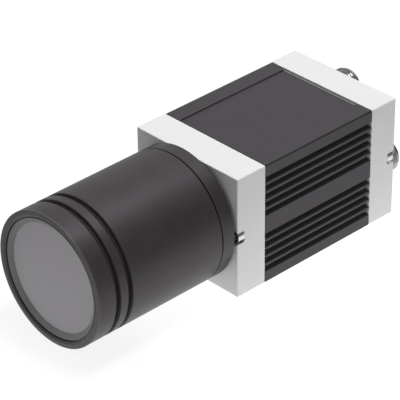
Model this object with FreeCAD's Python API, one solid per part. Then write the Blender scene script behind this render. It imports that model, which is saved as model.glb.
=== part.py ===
import FreeCAD, Part
import math
import os

# A square-bodied machine vision camera with a screw-on protective tube over its lens.
# X is the width, -Y is where the lens looks, +Z is up. All sizes are millimetres.
# The drawing is made with the front cover's front face at y = 0 and the base at z = 0.
# export() then slides everything along Y so that the whole camera is centred there.

# Covers and housing
cover_width = 45.3
cover_height = 43.3
front_cover_length = 12.2
housing_length = 48.2
rear_cover_length = 11.2
cover_edge_round = 0.3
housing_inset = 0.05
side_wall = 3.95
floor_wall = 2.25
roof_wall = 2.75

# Cooling grooves on both long sides, in two banks around a flat band
groove_count = 5
groove_width = 2.2
groove_pitch = 3.05
groove_depth = 2.2
flat_band_height = 6.45
flat_band_drop = 0.2
corner_step_width = 0.35
corner_step_height = 0.55

# Shallow pocket in the roof
label_pocket_side = 6.45
label_pocket_depth = 0.4
label_pocket_margin = 0.5

# Hollows and spigots of the two covers
spigot_length = 3.0
spigot_wall = 1.0
spigot_clearance = 0.1
cover_pocket_floor = 6.15
front_pocket_depth = 3.0
rear_cover_wall = 3.6
seal_cord_width = 1.2
seal_groove_depth = 1.0
spigot_seal_back = 0.9

# Screws through the covers into the housing
case_screw_inset = 2.15
case_screw_shank_d = 2.5
case_screw_head_d = 4.5
case_screw_head_height = 2.5
case_screw_key_width = 2.0
counterbore_d = 6.0
counterbore_depth = 2.9
case_screw_grip = 9.0
screw_hole_clearance = 0.05
drill_point_depth = 0.5

# Threaded holes in the base
base_thread_d = 4.0
base_thread_depth = 4.2
base_hole_inset = 6.65
base_hole_spacing_y = 60.0

# Protective tube and its rings, outside
tube_overhang = 0.15
tube_floor_gap = 0.15
base_ring_length = 6.15
base_ring_foot_inset = 2.6
base_ring_shoulder = 1.5
foot_bend_out = 0.72
foot_bend_along = 0.66
seam_width = 0.35
tube_length = 37.2
ring_groove_width = 0.9
ring_groove_depth = 1.15
ring_back_bevel = 1.2
spacer_length = 4.05
bezel_length = 7.95
bezel_edge_round = 0.15
ring_edge_break = 0.12

# Protective tube and its rings, inside
socket_wall = 1.6
tube_wall = 2.45
socket_depth = 5.0
spacer_socket_depth = 3.2
joint_clearance = 0.05
spigot_end_gap = 0.2
ring_spigot_wall = 1.8
o_ring_section = 1.0
o_ring_seat_depth = 0.95
o_ring_groove_width = 1.2
tube_seal_shift = 0.3
base_ring_flange = 2.6
base_ring_bore_wall = 0.3
base_ring_bore_gap = 0.5
base_gasket_thickness = 0.5
base_gasket_rim = 0.3
base_screw_wall_gap = 0.1
base_screw_count = 4
base_screw_start_angle = 45.0
base_screw_shank_d = 2.0
base_screw_head_d = 3.4
base_screw_head_height = 1.1
base_screw_key_width = 1.3
base_screw_key_depth = 0.65
base_screw_grip = 3.5

# Window at the front of the tube
window_rim_width = 1.5
window_rim_bevel = 0.8
window_rim_bevel_depth = 0.5
window_clearance = 0.1
window_recess = 1.65
window_thickness = 2.0
window_gasket_thickness = 0.5
window_seat_width = 2.0
retaining_ring_recess = 0.55
retaining_ring_step = 0.4
retaining_ring_thread = 0.7
retaining_ring_edge = 0.12

# Lens mount in the front cover
mount_ring_wall = 2.2
mount_thread_clearance = 0.05
mount_ring_length = 5.0
mount_nose_length = 4.0
filter_clearance = 0.1
filter_thickness = 1.1
filter_rim = 0.3
filter_lip = 1.9
sensor_distance = 17.526

# Lens
lens_room_gap = 1.7
lens_flange_step = 0.4
lens_flange_length = 2.5
focus_ring_wall = 3.95
sleeve_wall = 2.0
sleeve_length = 28.5
ring_clearance = 0.05
ring_gap = 0.3
iris_ring_step = 1.0
iris_ring_length = 7.0
focus_ring_length = 15.0
grip_flute_count = 36
grip_flute_d = 1.3
grip_flute_out = 0.26
grip_land = 0.6
cell_clearance = 0.05
cell_wall = 1.4
cell_head_step = 0.5
cell_head_length = 6.2
cell_head_gap = 0.3
cell_tail_length = 2.5
seat_depth = 0.5
front_glass_thickness = 3.6
front_glass_set_back = 1.6
rear_glass_thickness = 3.0
front_glass_bulge = 1.4
rear_glass_bulge = 0.8
retainer_width = 1.2
retainer_length = 1.0

# Iris blades inside the lens cell
blade_count = 6
blade_thickness = 0.08
blade_spacing = 0.14
blade_margin = 0.2
blade_width = 3.2
blade_reach_angle = 105.0
blade_ledge_width = 2.4
blade_ledge_length = 1.0
blade_ledge_y = -14.0

# Thumb screws that lock the two lens rings
lock_shank_d = 2.0
lock_head_d = 4.0
lock_head_height = 2.2
lock_head_lift = 0.3
lock_clearance = 0.04
lock_tip_gap = 0.1
lock_edge = 0.6
lock_notch_count = 12
lock_notch_d = 0.6
lock_notch_out = 0.12

# Circuit boards on their standoffs
board_side_gap = 2.5
board_end_gap = 4.15
board_thickness = 1.6
board_corner = 1.5
processor_board_lead = 21.0
io_board_set_back = 14.6
standoff_across_flats = 4.0
standoff_stud_d = 2.0
standoff_stud_length = 3.0
standoff_socket_extra = 1.0
standoff_inset = 2.4
stud_hole_clearance = 0.1
board_screw_head_d = 3.8
board_screw_head_height = 1.4
board_screw_length = 4.0
board_screw_key_width = 1.3

# Image sensor
sensor_package_width = 20.0
sensor_package_height = 16.0
sensor_package_thickness = 2.1
sensor_well_width = 15.0
sensor_well_height = 12.0
sensor_well_depth = 0.9
sensor_glass_thickness = 0.5
sensor_glass_rim = 1.2

# Parts on the boards
processor_rim = 0.5
processor_thickness = 1.6
memory_width = 9.0
memory_depth = 8.0
memory_thickness = 1.0
memory_gap = 2.0
thermal_pad_thickness = 1.0
spreader_thickness = 2.0
spreader_gap = 0.6
spreader_foot_length = 7.0
spreader_foot_thickness = 2.0
board_plug_end_gap = 0.8
board_plug_depth = 4.5
board_plug_height = 4.0
board_plug_edge_gap = 1.4
board_flex_inset = 2.2
board_flex_thickness = 0.4

# Round connectors in the rear cover
connector_screw_gap_x = 4.75
connector_screw_gap_z = 2.9
connector_thread_d = 12.0
connector_reach = 12.15
connector_collar_d = 14.4
connector_collar_length = 1.6
connector_shell_wall = 0.95
connector_back_wall = 1.45
connector_shank_length = 7.4
connector_cavity_depth = 9.0
connector_hole_clearance = 0.05
connector_nut_flats = 14.0
connector_nut_length = 2.6
connector_nut_room = 0.2
connector_nut_pocket_extra = 1.5
connector_seal_width = 0.7
connector_seal_depth = 0.7
thread_relief_depth = 0.4
thread_relief_length = 0.8
thread_chamfer = 0.6
insert_clearance = 0.03
insert_face_height = 1.2
pin_d = 0.8
outer_pin_count = 8
pin_circle_outer_d = 6.2
inner_pin_count = 4
pin_circle_inner_d = 2.6
pin_reach = 7.0
power_key_width = 1.2
power_key_height = 0.65
power_key_gap = 0.1
power_key_set_back = 2.0
network_column_d = 8.3
network_column_reach = 8.2
network_hole_d = 1.1
network_pair_radius = 2.9
network_pair_half_gap = 0.85
network_key_width = 1.4
network_key_depth = 0.7
network_key_base = 1.0
network_mouth_depth = 4.0
network_cup_bore_d = 0.7
network_cup_set_back = 0.6
network_quarter_count = 4

# Status lights in the rear cover
light_count = 3
light_pitch = 3.2
light_pipe_d = 2.0
light_pipe_clearance = 0.05
light_pipe_stand = 0.3
light_pipe_collar = 0.4
light_pipe_collar_length = 1.0
light_chip_width = 1.6
light_chip_height = 1.0

# Places worked out from the sizes above
housing_front = front_cover_length
housing_back = housing_front + housing_length
body_back = housing_back + rear_cover_length
body_mid_z = cover_height / 2
tube_r = cover_width / 2 + tube_overhang
axis_z = tube_r + tube_floor_gap
base_ring_front = -base_ring_length
tube_back = base_ring_front - seam_width
tube_front = tube_back - tube_length
spacer_back = tube_front - ring_groove_width
spacer_front = spacer_back - spacer_length
bezel_back = spacer_front - ring_groove_width
bezel_front = bezel_back - bezel_length
connector_end = body_back + connector_reach
centre_y = (bezel_front + connector_end) / 2
cavity_half_width = cover_width / 2 - side_wall
cavity_low = floor_wall
cavity_high = cover_height - roof_wall
cavity_mid_z = (cavity_low + cavity_high) / 2
screw_x = cover_width / 2 - case_screw_inset
socket_r = tube_r - socket_wall
spigot_r = socket_r - joint_clearance
tube_bore_r = tube_r - tube_wall
spigot_bore_r = spigot_r - ring_spigot_wall
shoulder_r = tube_r - ring_groove_depth
foot_r = tube_r - base_ring_foot_inset
base_screw_circle_r = spigot_bore_r - base_screw_head_d / 2 - base_screw_wall_gap
base_ring_bore_r = base_screw_circle_r - base_screw_head_d / 2 - base_ring_bore_wall
mount_ring_r = base_ring_bore_r - base_ring_bore_gap
mount_r = mount_ring_r - mount_ring_wall
filter_r = mount_r - filter_rim
window_seat_r = tube_r - window_rim_width - window_rim_bevel
window_r = window_seat_r - window_clearance
window_opening_r = window_r - window_seat_width
sensor_front = sensor_distance - sensor_well_depth
sensor_board_y = sensor_front + sensor_package_thickness
io_board_y = body_back - io_board_set_back
processor_board_y = io_board_y - processor_board_lead
focus_ring_r = tube_bore_r - lens_room_gap - lock_head_lift - lock_head_height
iris_ring_r = focus_ring_r - iris_ring_step
lens_flange_r = iris_ring_r - lens_flange_step
cell_head_r = focus_ring_r - cell_head_step
ring_bore_r = focus_ring_r - focus_ring_wall
sleeve_r = ring_bore_r - ring_clearance
sleeve_bore_r = sleeve_r - sleeve_wall
iris_back = -lens_flange_length - ring_gap
iris_front = iris_back - iris_ring_length
focus_back = iris_front - ring_gap
focus_front = focus_back - focus_ring_length
sleeve_front = -lens_flange_length - sleeve_length
cell_r = sleeve_bore_r - cell_clearance
cell_bore_r = cell_r - cell_wall
cell_head_back = sleeve_front - cell_head_gap
cell_front = cell_head_back - cell_head_length
glass_seat_r = cell_bore_r + seat_depth
board_back_io = io_board_y + board_thickness
board_width = 2 * (cavity_half_width - board_side_gap)
board_height = cavity_high - cavity_low - 2 * board_end_gap
standoff_x = board_width / 2 - standoff_inset
standoff_z = board_height / 2 - standoff_inset
connector_offset_x = standoff_x - connector_screw_gap_x
connector_offset_z = standoff_z - connector_screw_gap_z
board_plug_half = standoff_x - standoff_across_flats / 2 - board_plug_end_gap
spreader_half = board_height / 2 - board_plug_edge_gap - board_plug_height - spreader_gap
processor_half = spreader_half - processor_rim
front_pocket_y = housing_front - front_pocket_depth
rear_pocket_y = body_back - rear_cover_wall


def vec(x, y, z):
    return FreeCAD.Vector(x, y, z)


def block(x0, x1, y0, y1, z0, z1):
    """A box between two corners."""
    return Part.makeBox(x1 - x0, y1 - y0, z1 - z0, vec(x0, y0, z0))


def rod(radius, y0, y1, x=0.0, z=axis_z):
    """A cylinder along Y from y0 to y1."""
    return Part.makeCylinder(radius, y1 - y0, vec(x, y0, z), vec(0, 1, 0))


def turned(outline, x=0.0, z=axis_z):
    """A turned part: a closed outline of (radius, y) points spun about a line along Y."""
    points = [vec(x + radius, y, z) for radius, y in outline]
    face = Part.Face(Part.makePolygon(points + points[:1]))
    return face.revolve(vec(x, 0, z), vec(0, 1, 0), 360)


def ring(inner, outer, y0, y1, x=0.0, z=axis_z):
    """A plain turned ring."""
    return rod(outer, y0, y1, x, z).cut(rod(inner, y0 - 1, y1 + 1, x, z))


def hexagon(across_flats, y0, y1, x, z):
    """A hexagonal bar along Y with two flats facing sideways."""
    corner = across_flats / math.sqrt(3)
    points = []
    for index in range(6):
        angle = math.radians(30 + 60 * index)
        points.append(vec(x + corner * math.cos(angle), y0, z + corner * math.sin(angle)))
    face = Part.Face(Part.makePolygon(points + points[:1]))
    return face.extrude(vec(0, y1 - y0, 0))


def o_ring(seat_radius, y_mid):
    """A round-section seal lying in a groove whose floor is at seat_radius."""
    half = o_ring_section / 2
    return Part.makeTorus(seat_radius + half, half, vec(0, y_mid, axis_z), vec(0, 1, 0))


def joined(shapes):
    """One solid made of touching or overlapping shapes."""
    first, rest = shapes[0], shapes[1:]
    return first.fuse(rest).removeSplitter()


def group(shapes):
    """Separate solids kept in one node."""
    solids = []
    for shape in shapes:
        solids.extend(shape.Solids)
    return Part.makeCompound(solids)


def export(name, shape):
    """Write one sub-part, slid along Y so that the camera is centred."""
    placed = shape.copy()
    placed.translate(vec(0, -centre_y, 0))
    placed.exportStep(os.path.join("parts", name + ".step"))


def rounded_cover(y0, y1):
    """The outer block of a cover, with its twelve edges broken."""
    outer = block(-cover_width / 2, cover_width / 2, y0, y1, 0, cover_height)
    return outer.makeFillet(cover_edge_round, outer.Edges)


def spigot_frame(y0, y1, seal_y):
    """The rim on a cover that plugs into the housing, with a groove for its seal."""
    half = cavity_half_width - spigot_clearance
    low = cavity_low + spigot_clearance
    high = cavity_high - spigot_clearance
    frame = block(-half, half, y0, y1, low, high)
    cut = seal_groove_depth
    band = block(-half - 1, half + 1, seal_y, seal_y + seal_cord_width, low - 1, high + 1)
    core = block(-half + cut, half - cut, seal_y, seal_y + seal_cord_width, low + cut, high - cut)
    return frame.cut(band.cut(core))


def spigot_seal(seal_y):
    """The square-section seal in a spigot's groove, pressed flat by the housing's wall."""
    half = cavity_half_width
    inner = half - spigot_clearance - seal_groove_depth
    low = cavity_low
    high = cavity_high
    inset = spigot_clearance + seal_groove_depth
    outer = block(-half, half, seal_y, seal_y + seal_cord_width, low, high)
    hole = block(-inner, inner, seal_y - 1, seal_y + seal_cord_width + 1, low + inset, high - inset)
    return outer.cut(hole)


def cover_pocket(y0, y1):
    """The hollow inside a cover's rim."""
    half = cavity_half_width - spigot_clearance - seal_groove_depth - spigot_wall
    high = cavity_high - spigot_clearance - seal_groove_depth - spigot_wall
    return block(-half, half, y0, y1, cover_pocket_floor, high)


def screw_places():
    """The two screw axes, left and right of the body's middle."""
    return [(-screw_x, body_mid_z), (screw_x, body_mid_z)]


def case_screw(x, z, head_y, direction):
    """A socket head screw. direction is +1 where the thread points back."""
    cover = front_cover_length if direction > 0 else rear_cover_length
    length = cover - counterbore_depth + case_screw_grip
    head_end = head_y - direction * case_screw_head_height
    shank_end = head_y + direction * length
    head = rod(case_screw_head_d / 2, min(head_y, head_end), max(head_y, head_end), x, z)
    shank = rod(case_screw_shank_d / 2, min(head_y, shank_end), max(head_y, shank_end), x, z)
    key_end = head_end + direction * case_screw_head_height / 2
    key = hexagon(case_screw_key_width, min(head_end, key_end), max(head_end, key_end), x, z)
    return joined([head, shank]).cut(key)


def case_screw_hole(x, z, face_y, direction):
    """The counterbore and the clearance hole for a case screw, cut from a cover's outer face."""
    cover = front_cover_length if direction > 0 else rear_cover_length
    bore_r = counterbore_d / 2
    hole_r = case_screw_shank_d / 2 + screw_hole_clearance
    floor = face_y + direction * counterbore_depth
    tip = floor + direction * drill_point_depth
    start = face_y - direction
    end = face_y + direction * (cover + 1)
    bore = rod(bore_r, min(start, floor), max(start, floor), x, z)
    ring_floor = case_screw_head_d / 2
    point = turned([(ring_floor, floor), (bore_r, floor), (ring_floor, tip)], x, z)
    hole = rod(hole_r, min(start, end), max(start, end), x, z)
    return [bore, point, hole]


def base_thread_holes():
    """Four blind threaded holes in the underside, on a rectangle about the body's middle."""
    mid_y = body_back / 2
    holes = []
    hole_x = cover_width / 2 - base_hole_inset
    for side in (-1, 1):
        for end in (-1, 1):
            place = vec(side * hole_x, mid_y + end * base_hole_spacing_y / 2, -1)
            holes.append(Part.makeCylinder(base_thread_d / 2, base_thread_depth + 1, place))
    return holes


def base_screw_places():
    """Screw axes that hold the base ring to the front cover."""
    places = []
    for index in range(base_screw_count):
        angle = math.radians(base_screw_start_angle + 360 * index / base_screw_count)
        x = base_screw_circle_r * math.cos(angle)
        z = axis_z + base_screw_circle_r * math.sin(angle)
        places.append((x, z))
    return places


def standoff_places():
    """The four corners where the boards stand on their posts."""
    return [(sx * standoff_x, cavity_mid_z + sz * standoff_z) for sx in (-1, 1) for sz in (-1, 1)]


def connector_places():
    """The two connectors, on a diagonal of the rear cover."""
    power = (-connector_offset_x, body_mid_z + connector_offset_z)
    network = (connector_offset_x, body_mid_z - connector_offset_z)
    return {"power": power, "network": network}


def light_places():
    """The status lights, in a row beside the upper connector."""
    places = []
    for index in range(light_count):
        shift = (index - (light_count - 1) / 2) * light_pitch
        places.append((connector_offset_x + shift, body_mid_z + connector_offset_z))
    return places


def make_front_cover():
    """Front cover: lens mount bore, filter seat, pocket, rim and screw holes."""
    body = rounded_cover(0, front_cover_length)
    seal_y = housing_front + spigot_seal_back
    solid = joined([body, spigot_frame(housing_front, housing_front + spigot_length, seal_y)])
    filter_back = mount_ring_length + filter_clearance + filter_thickness
    cuts = [
        rod(mount_ring_r, -1, mount_ring_length),
        rod(filter_r + filter_clearance / 2, 0, filter_back),
        rod(filter_r - filter_lip, 0, housing_front + spigot_length + 1),
        cover_pocket(front_pocket_y, housing_front + spigot_length + 1),
    ]
    for x, z in screw_places():
        cuts.extend(case_screw_hole(x, z, 0, 1))
    for x, z in base_screw_places():
        cuts.append(rod(base_screw_shank_d / 2, -1, base_screw_grip + drill_point_depth, x, z))
    stud_floor = front_pocket_y - standoff_stud_length
    for x, z in standoff_places():
        cuts.append(rod(standoff_stud_d / 2, stud_floor, front_pocket_y + 1, x, z))
    cuts.extend(base_thread_holes())
    return solid.cut(cuts)


def make_rear_cover():
    """Rear cover: pocket, rim, connector holes, light holes and screw holes."""
    body = rounded_cover(housing_back, body_back)
    seal_y = housing_back - spigot_seal_back - seal_cord_width
    solid = joined([body, spigot_frame(housing_back - spigot_length, housing_back, seal_y)])
    cuts = [cover_pocket(housing_back - spigot_length - 1, rear_pocket_y)]
    for x, z in screw_places():
        cuts.extend(case_screw_hole(x, z, body_back, -1))
    hole_r = connector_thread_d / 2 + connector_hole_clearance
    for x, z in connector_places().values():
        cuts.append(rod(hole_r, rear_pocket_y - 1, body_back + 1, x, z))
        seal_r = hole_r + connector_seal_width
        cuts.append(rod(seal_r, body_back - connector_seal_depth, body_back + 1, x, z))
        nut_r = connector_nut_flats / math.sqrt(3) + connector_nut_room
        nut_y = rear_pocket_y - connector_nut_length - connector_nut_pocket_extra
        cuts.append(rod(nut_r, nut_y, rear_pocket_y, x, z))
    for x, z in light_places():
        cuts.append(rod(light_pipe_d / 2 + light_pipe_clearance, rear_pocket_y - 1, body_back + 1, x, z))
    cuts.extend(base_thread_holes())
    return solid.cut(cuts)


def groove_heights():
    """Low edges of the cooling grooves, two banks mirrored about the flat band's middle."""
    band_z = body_mid_z - flat_band_drop
    heights = []
    for index in range(groove_count):
        low = flat_band_height / 2 + index * groove_pitch
        heights.append(band_z + low)
        heights.append(band_z - low - groove_width)
    return heights


def make_housing():
    """Extruded housing: hollow, with cooling grooves, screw channels and a roof pocket."""
    half = cover_width / 2 - housing_inset
    low = housing_inset
    high = cover_height - housing_inset
    body = block(-half, half, housing_front, housing_back, low, high)
    y0 = housing_front - 1
    y1 = housing_back + 1
    cuts = [block(-cavity_half_width, cavity_half_width, y0, y1, cavity_low, cavity_high)]
    for side in (-1, 1):
        inner = side * (half - groove_depth)
        outer = side * (half + 1)
        for z in groove_heights():
            cuts.append(block(min(inner, outer), max(inner, outer), y0, y1, z, z + groove_width))
        step = side * (half - corner_step_width)
        step_low = high - corner_step_height
        cuts.append(block(min(step, outer), max(step, outer), y0, y1, step_low, high + 1))
    pocket_low = high - label_pocket_depth
    pocket_y0 = housing_front + label_pocket_margin
    pocket_y1 = housing_back - label_pocket_margin
    pocket_half = cover_width / 2 - label_pocket_side
    cuts.append(block(-pocket_half, pocket_half, pocket_y0, pocket_y1, pocket_low, high + 1))
    for x, z in screw_places():
        depth = case_screw_grip + drill_point_depth
        cuts.append(rod(case_screw_shank_d / 2, y0, housing_front + depth, x, z))
        cuts.append(rod(case_screw_shank_d / 2, housing_back - depth, y1, x, z))
    return body.cut(cuts)


def make_base_ring():
    """Base ring: stands on the front cover, holds the tube on its front spigot."""
    back = -base_gasket_thickness
    tip = tube_back - socket_depth + spigot_end_gap
    seal_y = (base_ring_front + tip) / 2 - tube_seal_shift
    half = o_ring_groove_width / 2
    floor_r = spigot_r - o_ring_seat_depth
    outline = [
        (base_ring_bore_r, back),
        (foot_r, back),
        (foot_r + (tube_r - foot_r) * foot_bend_out, -base_ring_shoulder * foot_bend_along),
        (tube_r, -base_ring_shoulder),
        (tube_r, base_ring_front + ring_edge_break),
        (tube_r - ring_edge_break, base_ring_front),
        (spigot_r, base_ring_front),
        (spigot_r, seal_y + half),
        (floor_r, seal_y + half),
        (floor_r, seal_y - half),
        (spigot_r, seal_y - half),
        (spigot_r, tip),
        (spigot_bore_r, tip),
        (spigot_bore_r, back - base_ring_flange),
        (base_ring_bore_r, back - base_ring_flange),
    ]
    solid = turned(outline)
    seat = back - base_ring_flange
    cuts = []
    for x, z in base_screw_places():
        cuts.append(rod(base_screw_shank_d / 2 + screw_hole_clearance, seat - 1, 1, x, z))
        head_y = seat + base_screw_head_height
        cuts.append(rod(base_screw_head_d / 2 + screw_hole_clearance, seat - 1, head_y, x, z))
    return solid.cut(cuts), seal_y, floor_r


def make_base_gasket():
    """Flat gasket under the base ring."""
    gasket = ring(base_ring_bore_r, foot_r - base_gasket_rim, -base_gasket_thickness, 0)
    hole_r = base_screw_shank_d / 2 + screw_hole_clearance
    return gasket.cut([rod(hole_r, -base_gasket_thickness - 1, 1, x, z) for x, z in base_screw_places()])


def make_base_screws():
    """Four flat head screws inside the base ring."""
    screws = []
    seat = -base_gasket_thickness - base_ring_flange
    head_back = seat + base_screw_head_height
    for x, z in base_screw_places():
        head = rod(base_screw_head_d / 2, seat, head_back, x, z)
        shank = rod(base_screw_shank_d / 2, head_back, base_screw_grip, x, z)
        key = hexagon(base_screw_key_width, seat, seat + base_screw_key_depth, x, z)
        screws.append(joined([head, shank]).cut(key))
    return group(screws)


def make_tube():
    """Protective tube with a socket at each end."""
    outline = [
        (socket_r, tube_back),
        (tube_r - ring_edge_break, tube_back),
        (tube_r, tube_back - ring_edge_break),
        (tube_r, tube_front + ring_edge_break),
        (tube_r - ring_edge_break, tube_front),
        (socket_r, tube_front),
        (socket_r, tube_front + socket_depth),
        (tube_bore_r, tube_front + socket_depth),
        (tube_bore_r, tube_back - socket_depth),
        (socket_r, tube_back - socket_depth),
    ]
    return turned(outline)


def stepped_ring(back, front, spigot_length_back, socket_front):
    """A front ring: spigot to the back with a shoulder, optional socket to the front."""
    shoulder_back = back + ring_groove_width
    tip = shoulder_back + spigot_length_back
    seal_y = (shoulder_back + tip) / 2
    half = o_ring_groove_width / 2
    floor_r = spigot_r - o_ring_seat_depth
    outline = [
        (spigot_bore_r, tip),
        (spigot_r, tip),
        (spigot_r, seal_y + half),
        (floor_r, seal_y + half),
        (floor_r, seal_y - half),
        (spigot_r, seal_y - half),
        (spigot_r, shoulder_back),
        (shoulder_r, shoulder_back),
        (shoulder_r, back),
        (tube_r, back - ring_back_bevel),
    ]
    if socket_front:
        outline += [
            (tube_r, front + ring_edge_break),
            (tube_r - ring_edge_break, front),
            (socket_r, front),
            (socket_r, front + socket_front),
            (spigot_bore_r, front + socket_front),
        ]
    else:
        outline.append((tube_r, front))
    return outline, seal_y, floor_r


def make_spacer_ring():
    """Narrow ring between the tube and the window bezel."""
    outline, seal_y, floor_r = stepped_ring(
        spacer_back, spacer_front, socket_depth - spigot_end_gap, spacer_socket_depth
    )
    return turned(outline), seal_y, floor_r


def make_bezel():
    """Window bezel: the front ring that carries the glass."""
    spigot = spacer_socket_depth - spigot_end_gap
    outline, seal_y, floor_r = stepped_ring(bezel_back, bezel_front, spigot, 0)
    glass_front = bezel_front + window_recess
    seat_y = glass_front + window_thickness + window_gasket_thickness
    outline += [
        (window_seat_r + window_rim_bevel, bezel_front),
        (window_seat_r, bezel_front + window_rim_bevel_depth),
        (window_seat_r, seat_y),
        (window_opening_r, seat_y),
        (window_opening_r, bezel_back),
        (spigot_bore_r, bezel_back),
    ]
    solid = turned(outline)
    rim = []
    for edge in solid.Edges:
        box = edge.BoundBox
        on_front = abs(box.YMin - bezel_front) < 1e-4 and abs(box.YMax - bezel_front) < 1e-4
        if on_front and abs(box.XMax - tube_r) < 1e-3:
            rim.append(edge)
    return solid.makeFillet(bezel_edge_round, rim), seal_y, floor_r


def make_window():
    """Window glass and the flat gasket behind it."""
    glass_front = bezel_front + window_recess
    glass_back = glass_front + window_thickness
    glass = rod(window_r, glass_front, glass_back)
    gasket = ring(window_opening_r, window_r, glass_back, glass_back + window_gasket_thickness)
    return glass, gasket


def make_retaining_ring():
    """Screwed ring with a sloping face that holds the window glass from the front."""
    glass_front = bezel_front + window_recess
    thread_r = window_seat_r - joint_clearance
    rim_r = thread_r - retaining_ring_step
    outline = [
        (window_opening_r, glass_front),
        (thread_r, glass_front),
        (thread_r, glass_front - retaining_ring_thread),
        (rim_r, glass_front - retaining_ring_thread),
        (rim_r, bezel_front + retaining_ring_recess),
        (window_opening_r, glass_front - retaining_ring_edge),
    ]
    return turned(outline)


def make_mount_parts():
    """Steel mount ring and the infrared filter behind it."""
    mount = ring(mount_r, mount_ring_r, 0, mount_ring_length)
    filter_front = mount_ring_length + filter_clearance
    glass = rod(filter_r, filter_front, filter_front + filter_thickness)
    return mount, glass


def make_lens_barrel():
    """Fixed part of the lens: threaded nose, flange and the sleeve the rings turn on."""
    outline = [
        (sleeve_bore_r, mount_nose_length),
        (mount_r - mount_thread_clearance, mount_nose_length),
        (mount_r - mount_thread_clearance, 0),
        (lens_flange_r, 0),
        (lens_flange_r, -lens_flange_length),
        (sleeve_r, -lens_flange_length),
        (sleeve_r, sleeve_front),
        (sleeve_bore_r, sleeve_front),
    ]
    return turned(outline)


def lens_ring(outer_r, back, front, screw_y):
    """A turning ring with finger flutes and a threaded hole for its lock screw."""
    solid = ring(ring_bore_r, outer_r, front, back)
    circle_r = outer_r + grip_flute_out
    flute_back = screw_y - lock_head_d / 2 - grip_land / 2
    flutes = []
    for index in range(grip_flute_count):
        angle = 2 * math.pi * (index + 0.5) / grip_flute_count
        x = circle_r * math.cos(angle)
        z = axis_z + circle_r * math.sin(angle)
        flutes.append(rod(grip_flute_d / 2, front + grip_land, flute_back, x, z))
    hole_r = lock_shank_d / 2 + lock_clearance
    hole = Part.makeCylinder(hole_r, outer_r + 1, vec(0, screw_y, axis_z), vec(0, 0, 1))
    return solid.cut(flutes + [hole])


def lock_screw(outer_r, screw_y):
    """A knurled thumb screw, standing on top of its ring."""
    bottom = axis_z + ring_bore_r + lock_tip_gap
    head_low = axis_z + outer_r + lock_head_lift
    up = vec(0, 0, 1)
    shank = Part.makeCylinder(lock_shank_d / 2, head_low - bottom, vec(0, screw_y, bottom), up)
    head = Part.makeCylinder(lock_head_d / 2, lock_head_height, vec(0, screw_y, head_low), up)
    notch_circle_r = lock_head_d / 2 + lock_notch_out
    notches = []
    for index in range(lock_notch_count):
        angle = 2 * math.pi * index / lock_notch_count
        x = notch_circle_r * math.cos(angle)
        y = screw_y + notch_circle_r * math.sin(angle)
        place = vec(x, y, head_low - 1)
        notches.append(Part.makeCylinder(lock_notch_d / 2, lock_head_height + 2, place, up))
    return joined([shank, head.cut(notches)])


def make_cell():
    """Optics cell: slides in the sleeve, carries the glass and the iris ledge."""
    tail = cell_tail_length
    outline = [
        (cell_bore_r, cell_front + front_glass_set_back + front_glass_thickness),
        (glass_seat_r, cell_front + front_glass_set_back + front_glass_thickness),
        (glass_seat_r, cell_front),
        (cell_head_r, cell_front),
        (cell_head_r, cell_head_back),
        (cell_r, cell_head_back),
        (cell_r, tail),
        (glass_seat_r, tail),
        (glass_seat_r, tail - rear_glass_thickness),
        (cell_bore_r, tail - rear_glass_thickness),
        (cell_bore_r, blade_ledge_y + blade_ledge_length),
        (cell_bore_r - blade_ledge_width, blade_ledge_y + blade_ledge_length),
        (cell_bore_r - blade_ledge_width, blade_ledge_y),
        (cell_bore_r, blade_ledge_y),
    ]
    return turned(outline)


def lens_glass(y0, y1, bulge_front, bulge_back):
    """A round lens element with a ball-shaped face to the front and one to the back."""
    half = glass_seat_r / 2
    front_r = (glass_seat_r ** 2 + bulge_front ** 2) / (2 * bulge_front)
    back_r = (glass_seat_r ** 2 + bulge_back ** 2) / (2 * bulge_back)
    front_mid = y0 + front_r - math.sqrt(front_r ** 2 - half ** 2)
    back_mid = y1 - back_r + math.sqrt(back_r ** 2 - half ** 2)
    front_tip = vec(0, y0, axis_z)
    back_tip = vec(0, y1, axis_z)
    front_rim = vec(glass_seat_r, y0 + bulge_front, axis_z)
    back_rim = vec(glass_seat_r, y1 - bulge_back, axis_z)
    front_arc = Part.Arc(front_tip, vec(half, front_mid, axis_z), front_rim).toShape()
    back_arc = Part.Arc(back_rim, vec(half, back_mid, axis_z), back_tip).toShape()
    sides = [front_arc, Part.makeLine(front_rim, back_rim), back_arc, Part.makeLine(back_tip, front_tip)]
    return Part.Face(Part.Wire(sides)).revolve(front_tip, vec(0, 1, 0), 360)


def make_glasses():
    """Front element, its retaining ring and the rear element."""
    y0 = cell_front + front_glass_set_back
    front = lens_glass(y0, y0 + front_glass_thickness, front_glass_bulge, front_glass_bulge / 2)
    rear_y = cell_tail_length - rear_glass_thickness
    rear = lens_glass(rear_y, cell_tail_length, rear_glass_bulge, rear_glass_bulge)
    retainer = ring(glass_seat_r - retainer_width, glass_seat_r, y0 - retainer_length, y0)
    return front, rear, retainer


def make_blade(index):
    """One thin curved iris blade with a round end at its pivot."""
    outer = cell_bore_r - blade_margin
    inner = outer - blade_width
    middle = (outer + inner) / 2
    cap = math.degrees(blade_width / 2 / middle)
    start = 360 * index / blade_count
    y0 = blade_ledge_y - blade_spacing * (index + 1)

    def at(radius, angle):
        turn = math.radians(start + angle)
        return vec(radius * math.cos(turn), y0, axis_z + radius * math.sin(turn))

    reach = blade_reach_angle
    edges = [
        Part.Arc(at(outer, 0), at(outer, reach / 2), at(outer, reach)).toShape(),
        Part.Arc(at(outer, reach), at(middle, reach + cap), at(inner, reach)).toShape(),
        Part.Arc(at(inner, reach), at(inner, reach / 2), at(inner, 0)).toShape(),
        Part.Arc(at(inner, 0), at(middle, -cap), at(outer, 0)).toShape(),
    ]
    return Part.Face(Part.Wire(edges)).extrude(vec(0, blade_thickness, 0))


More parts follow.
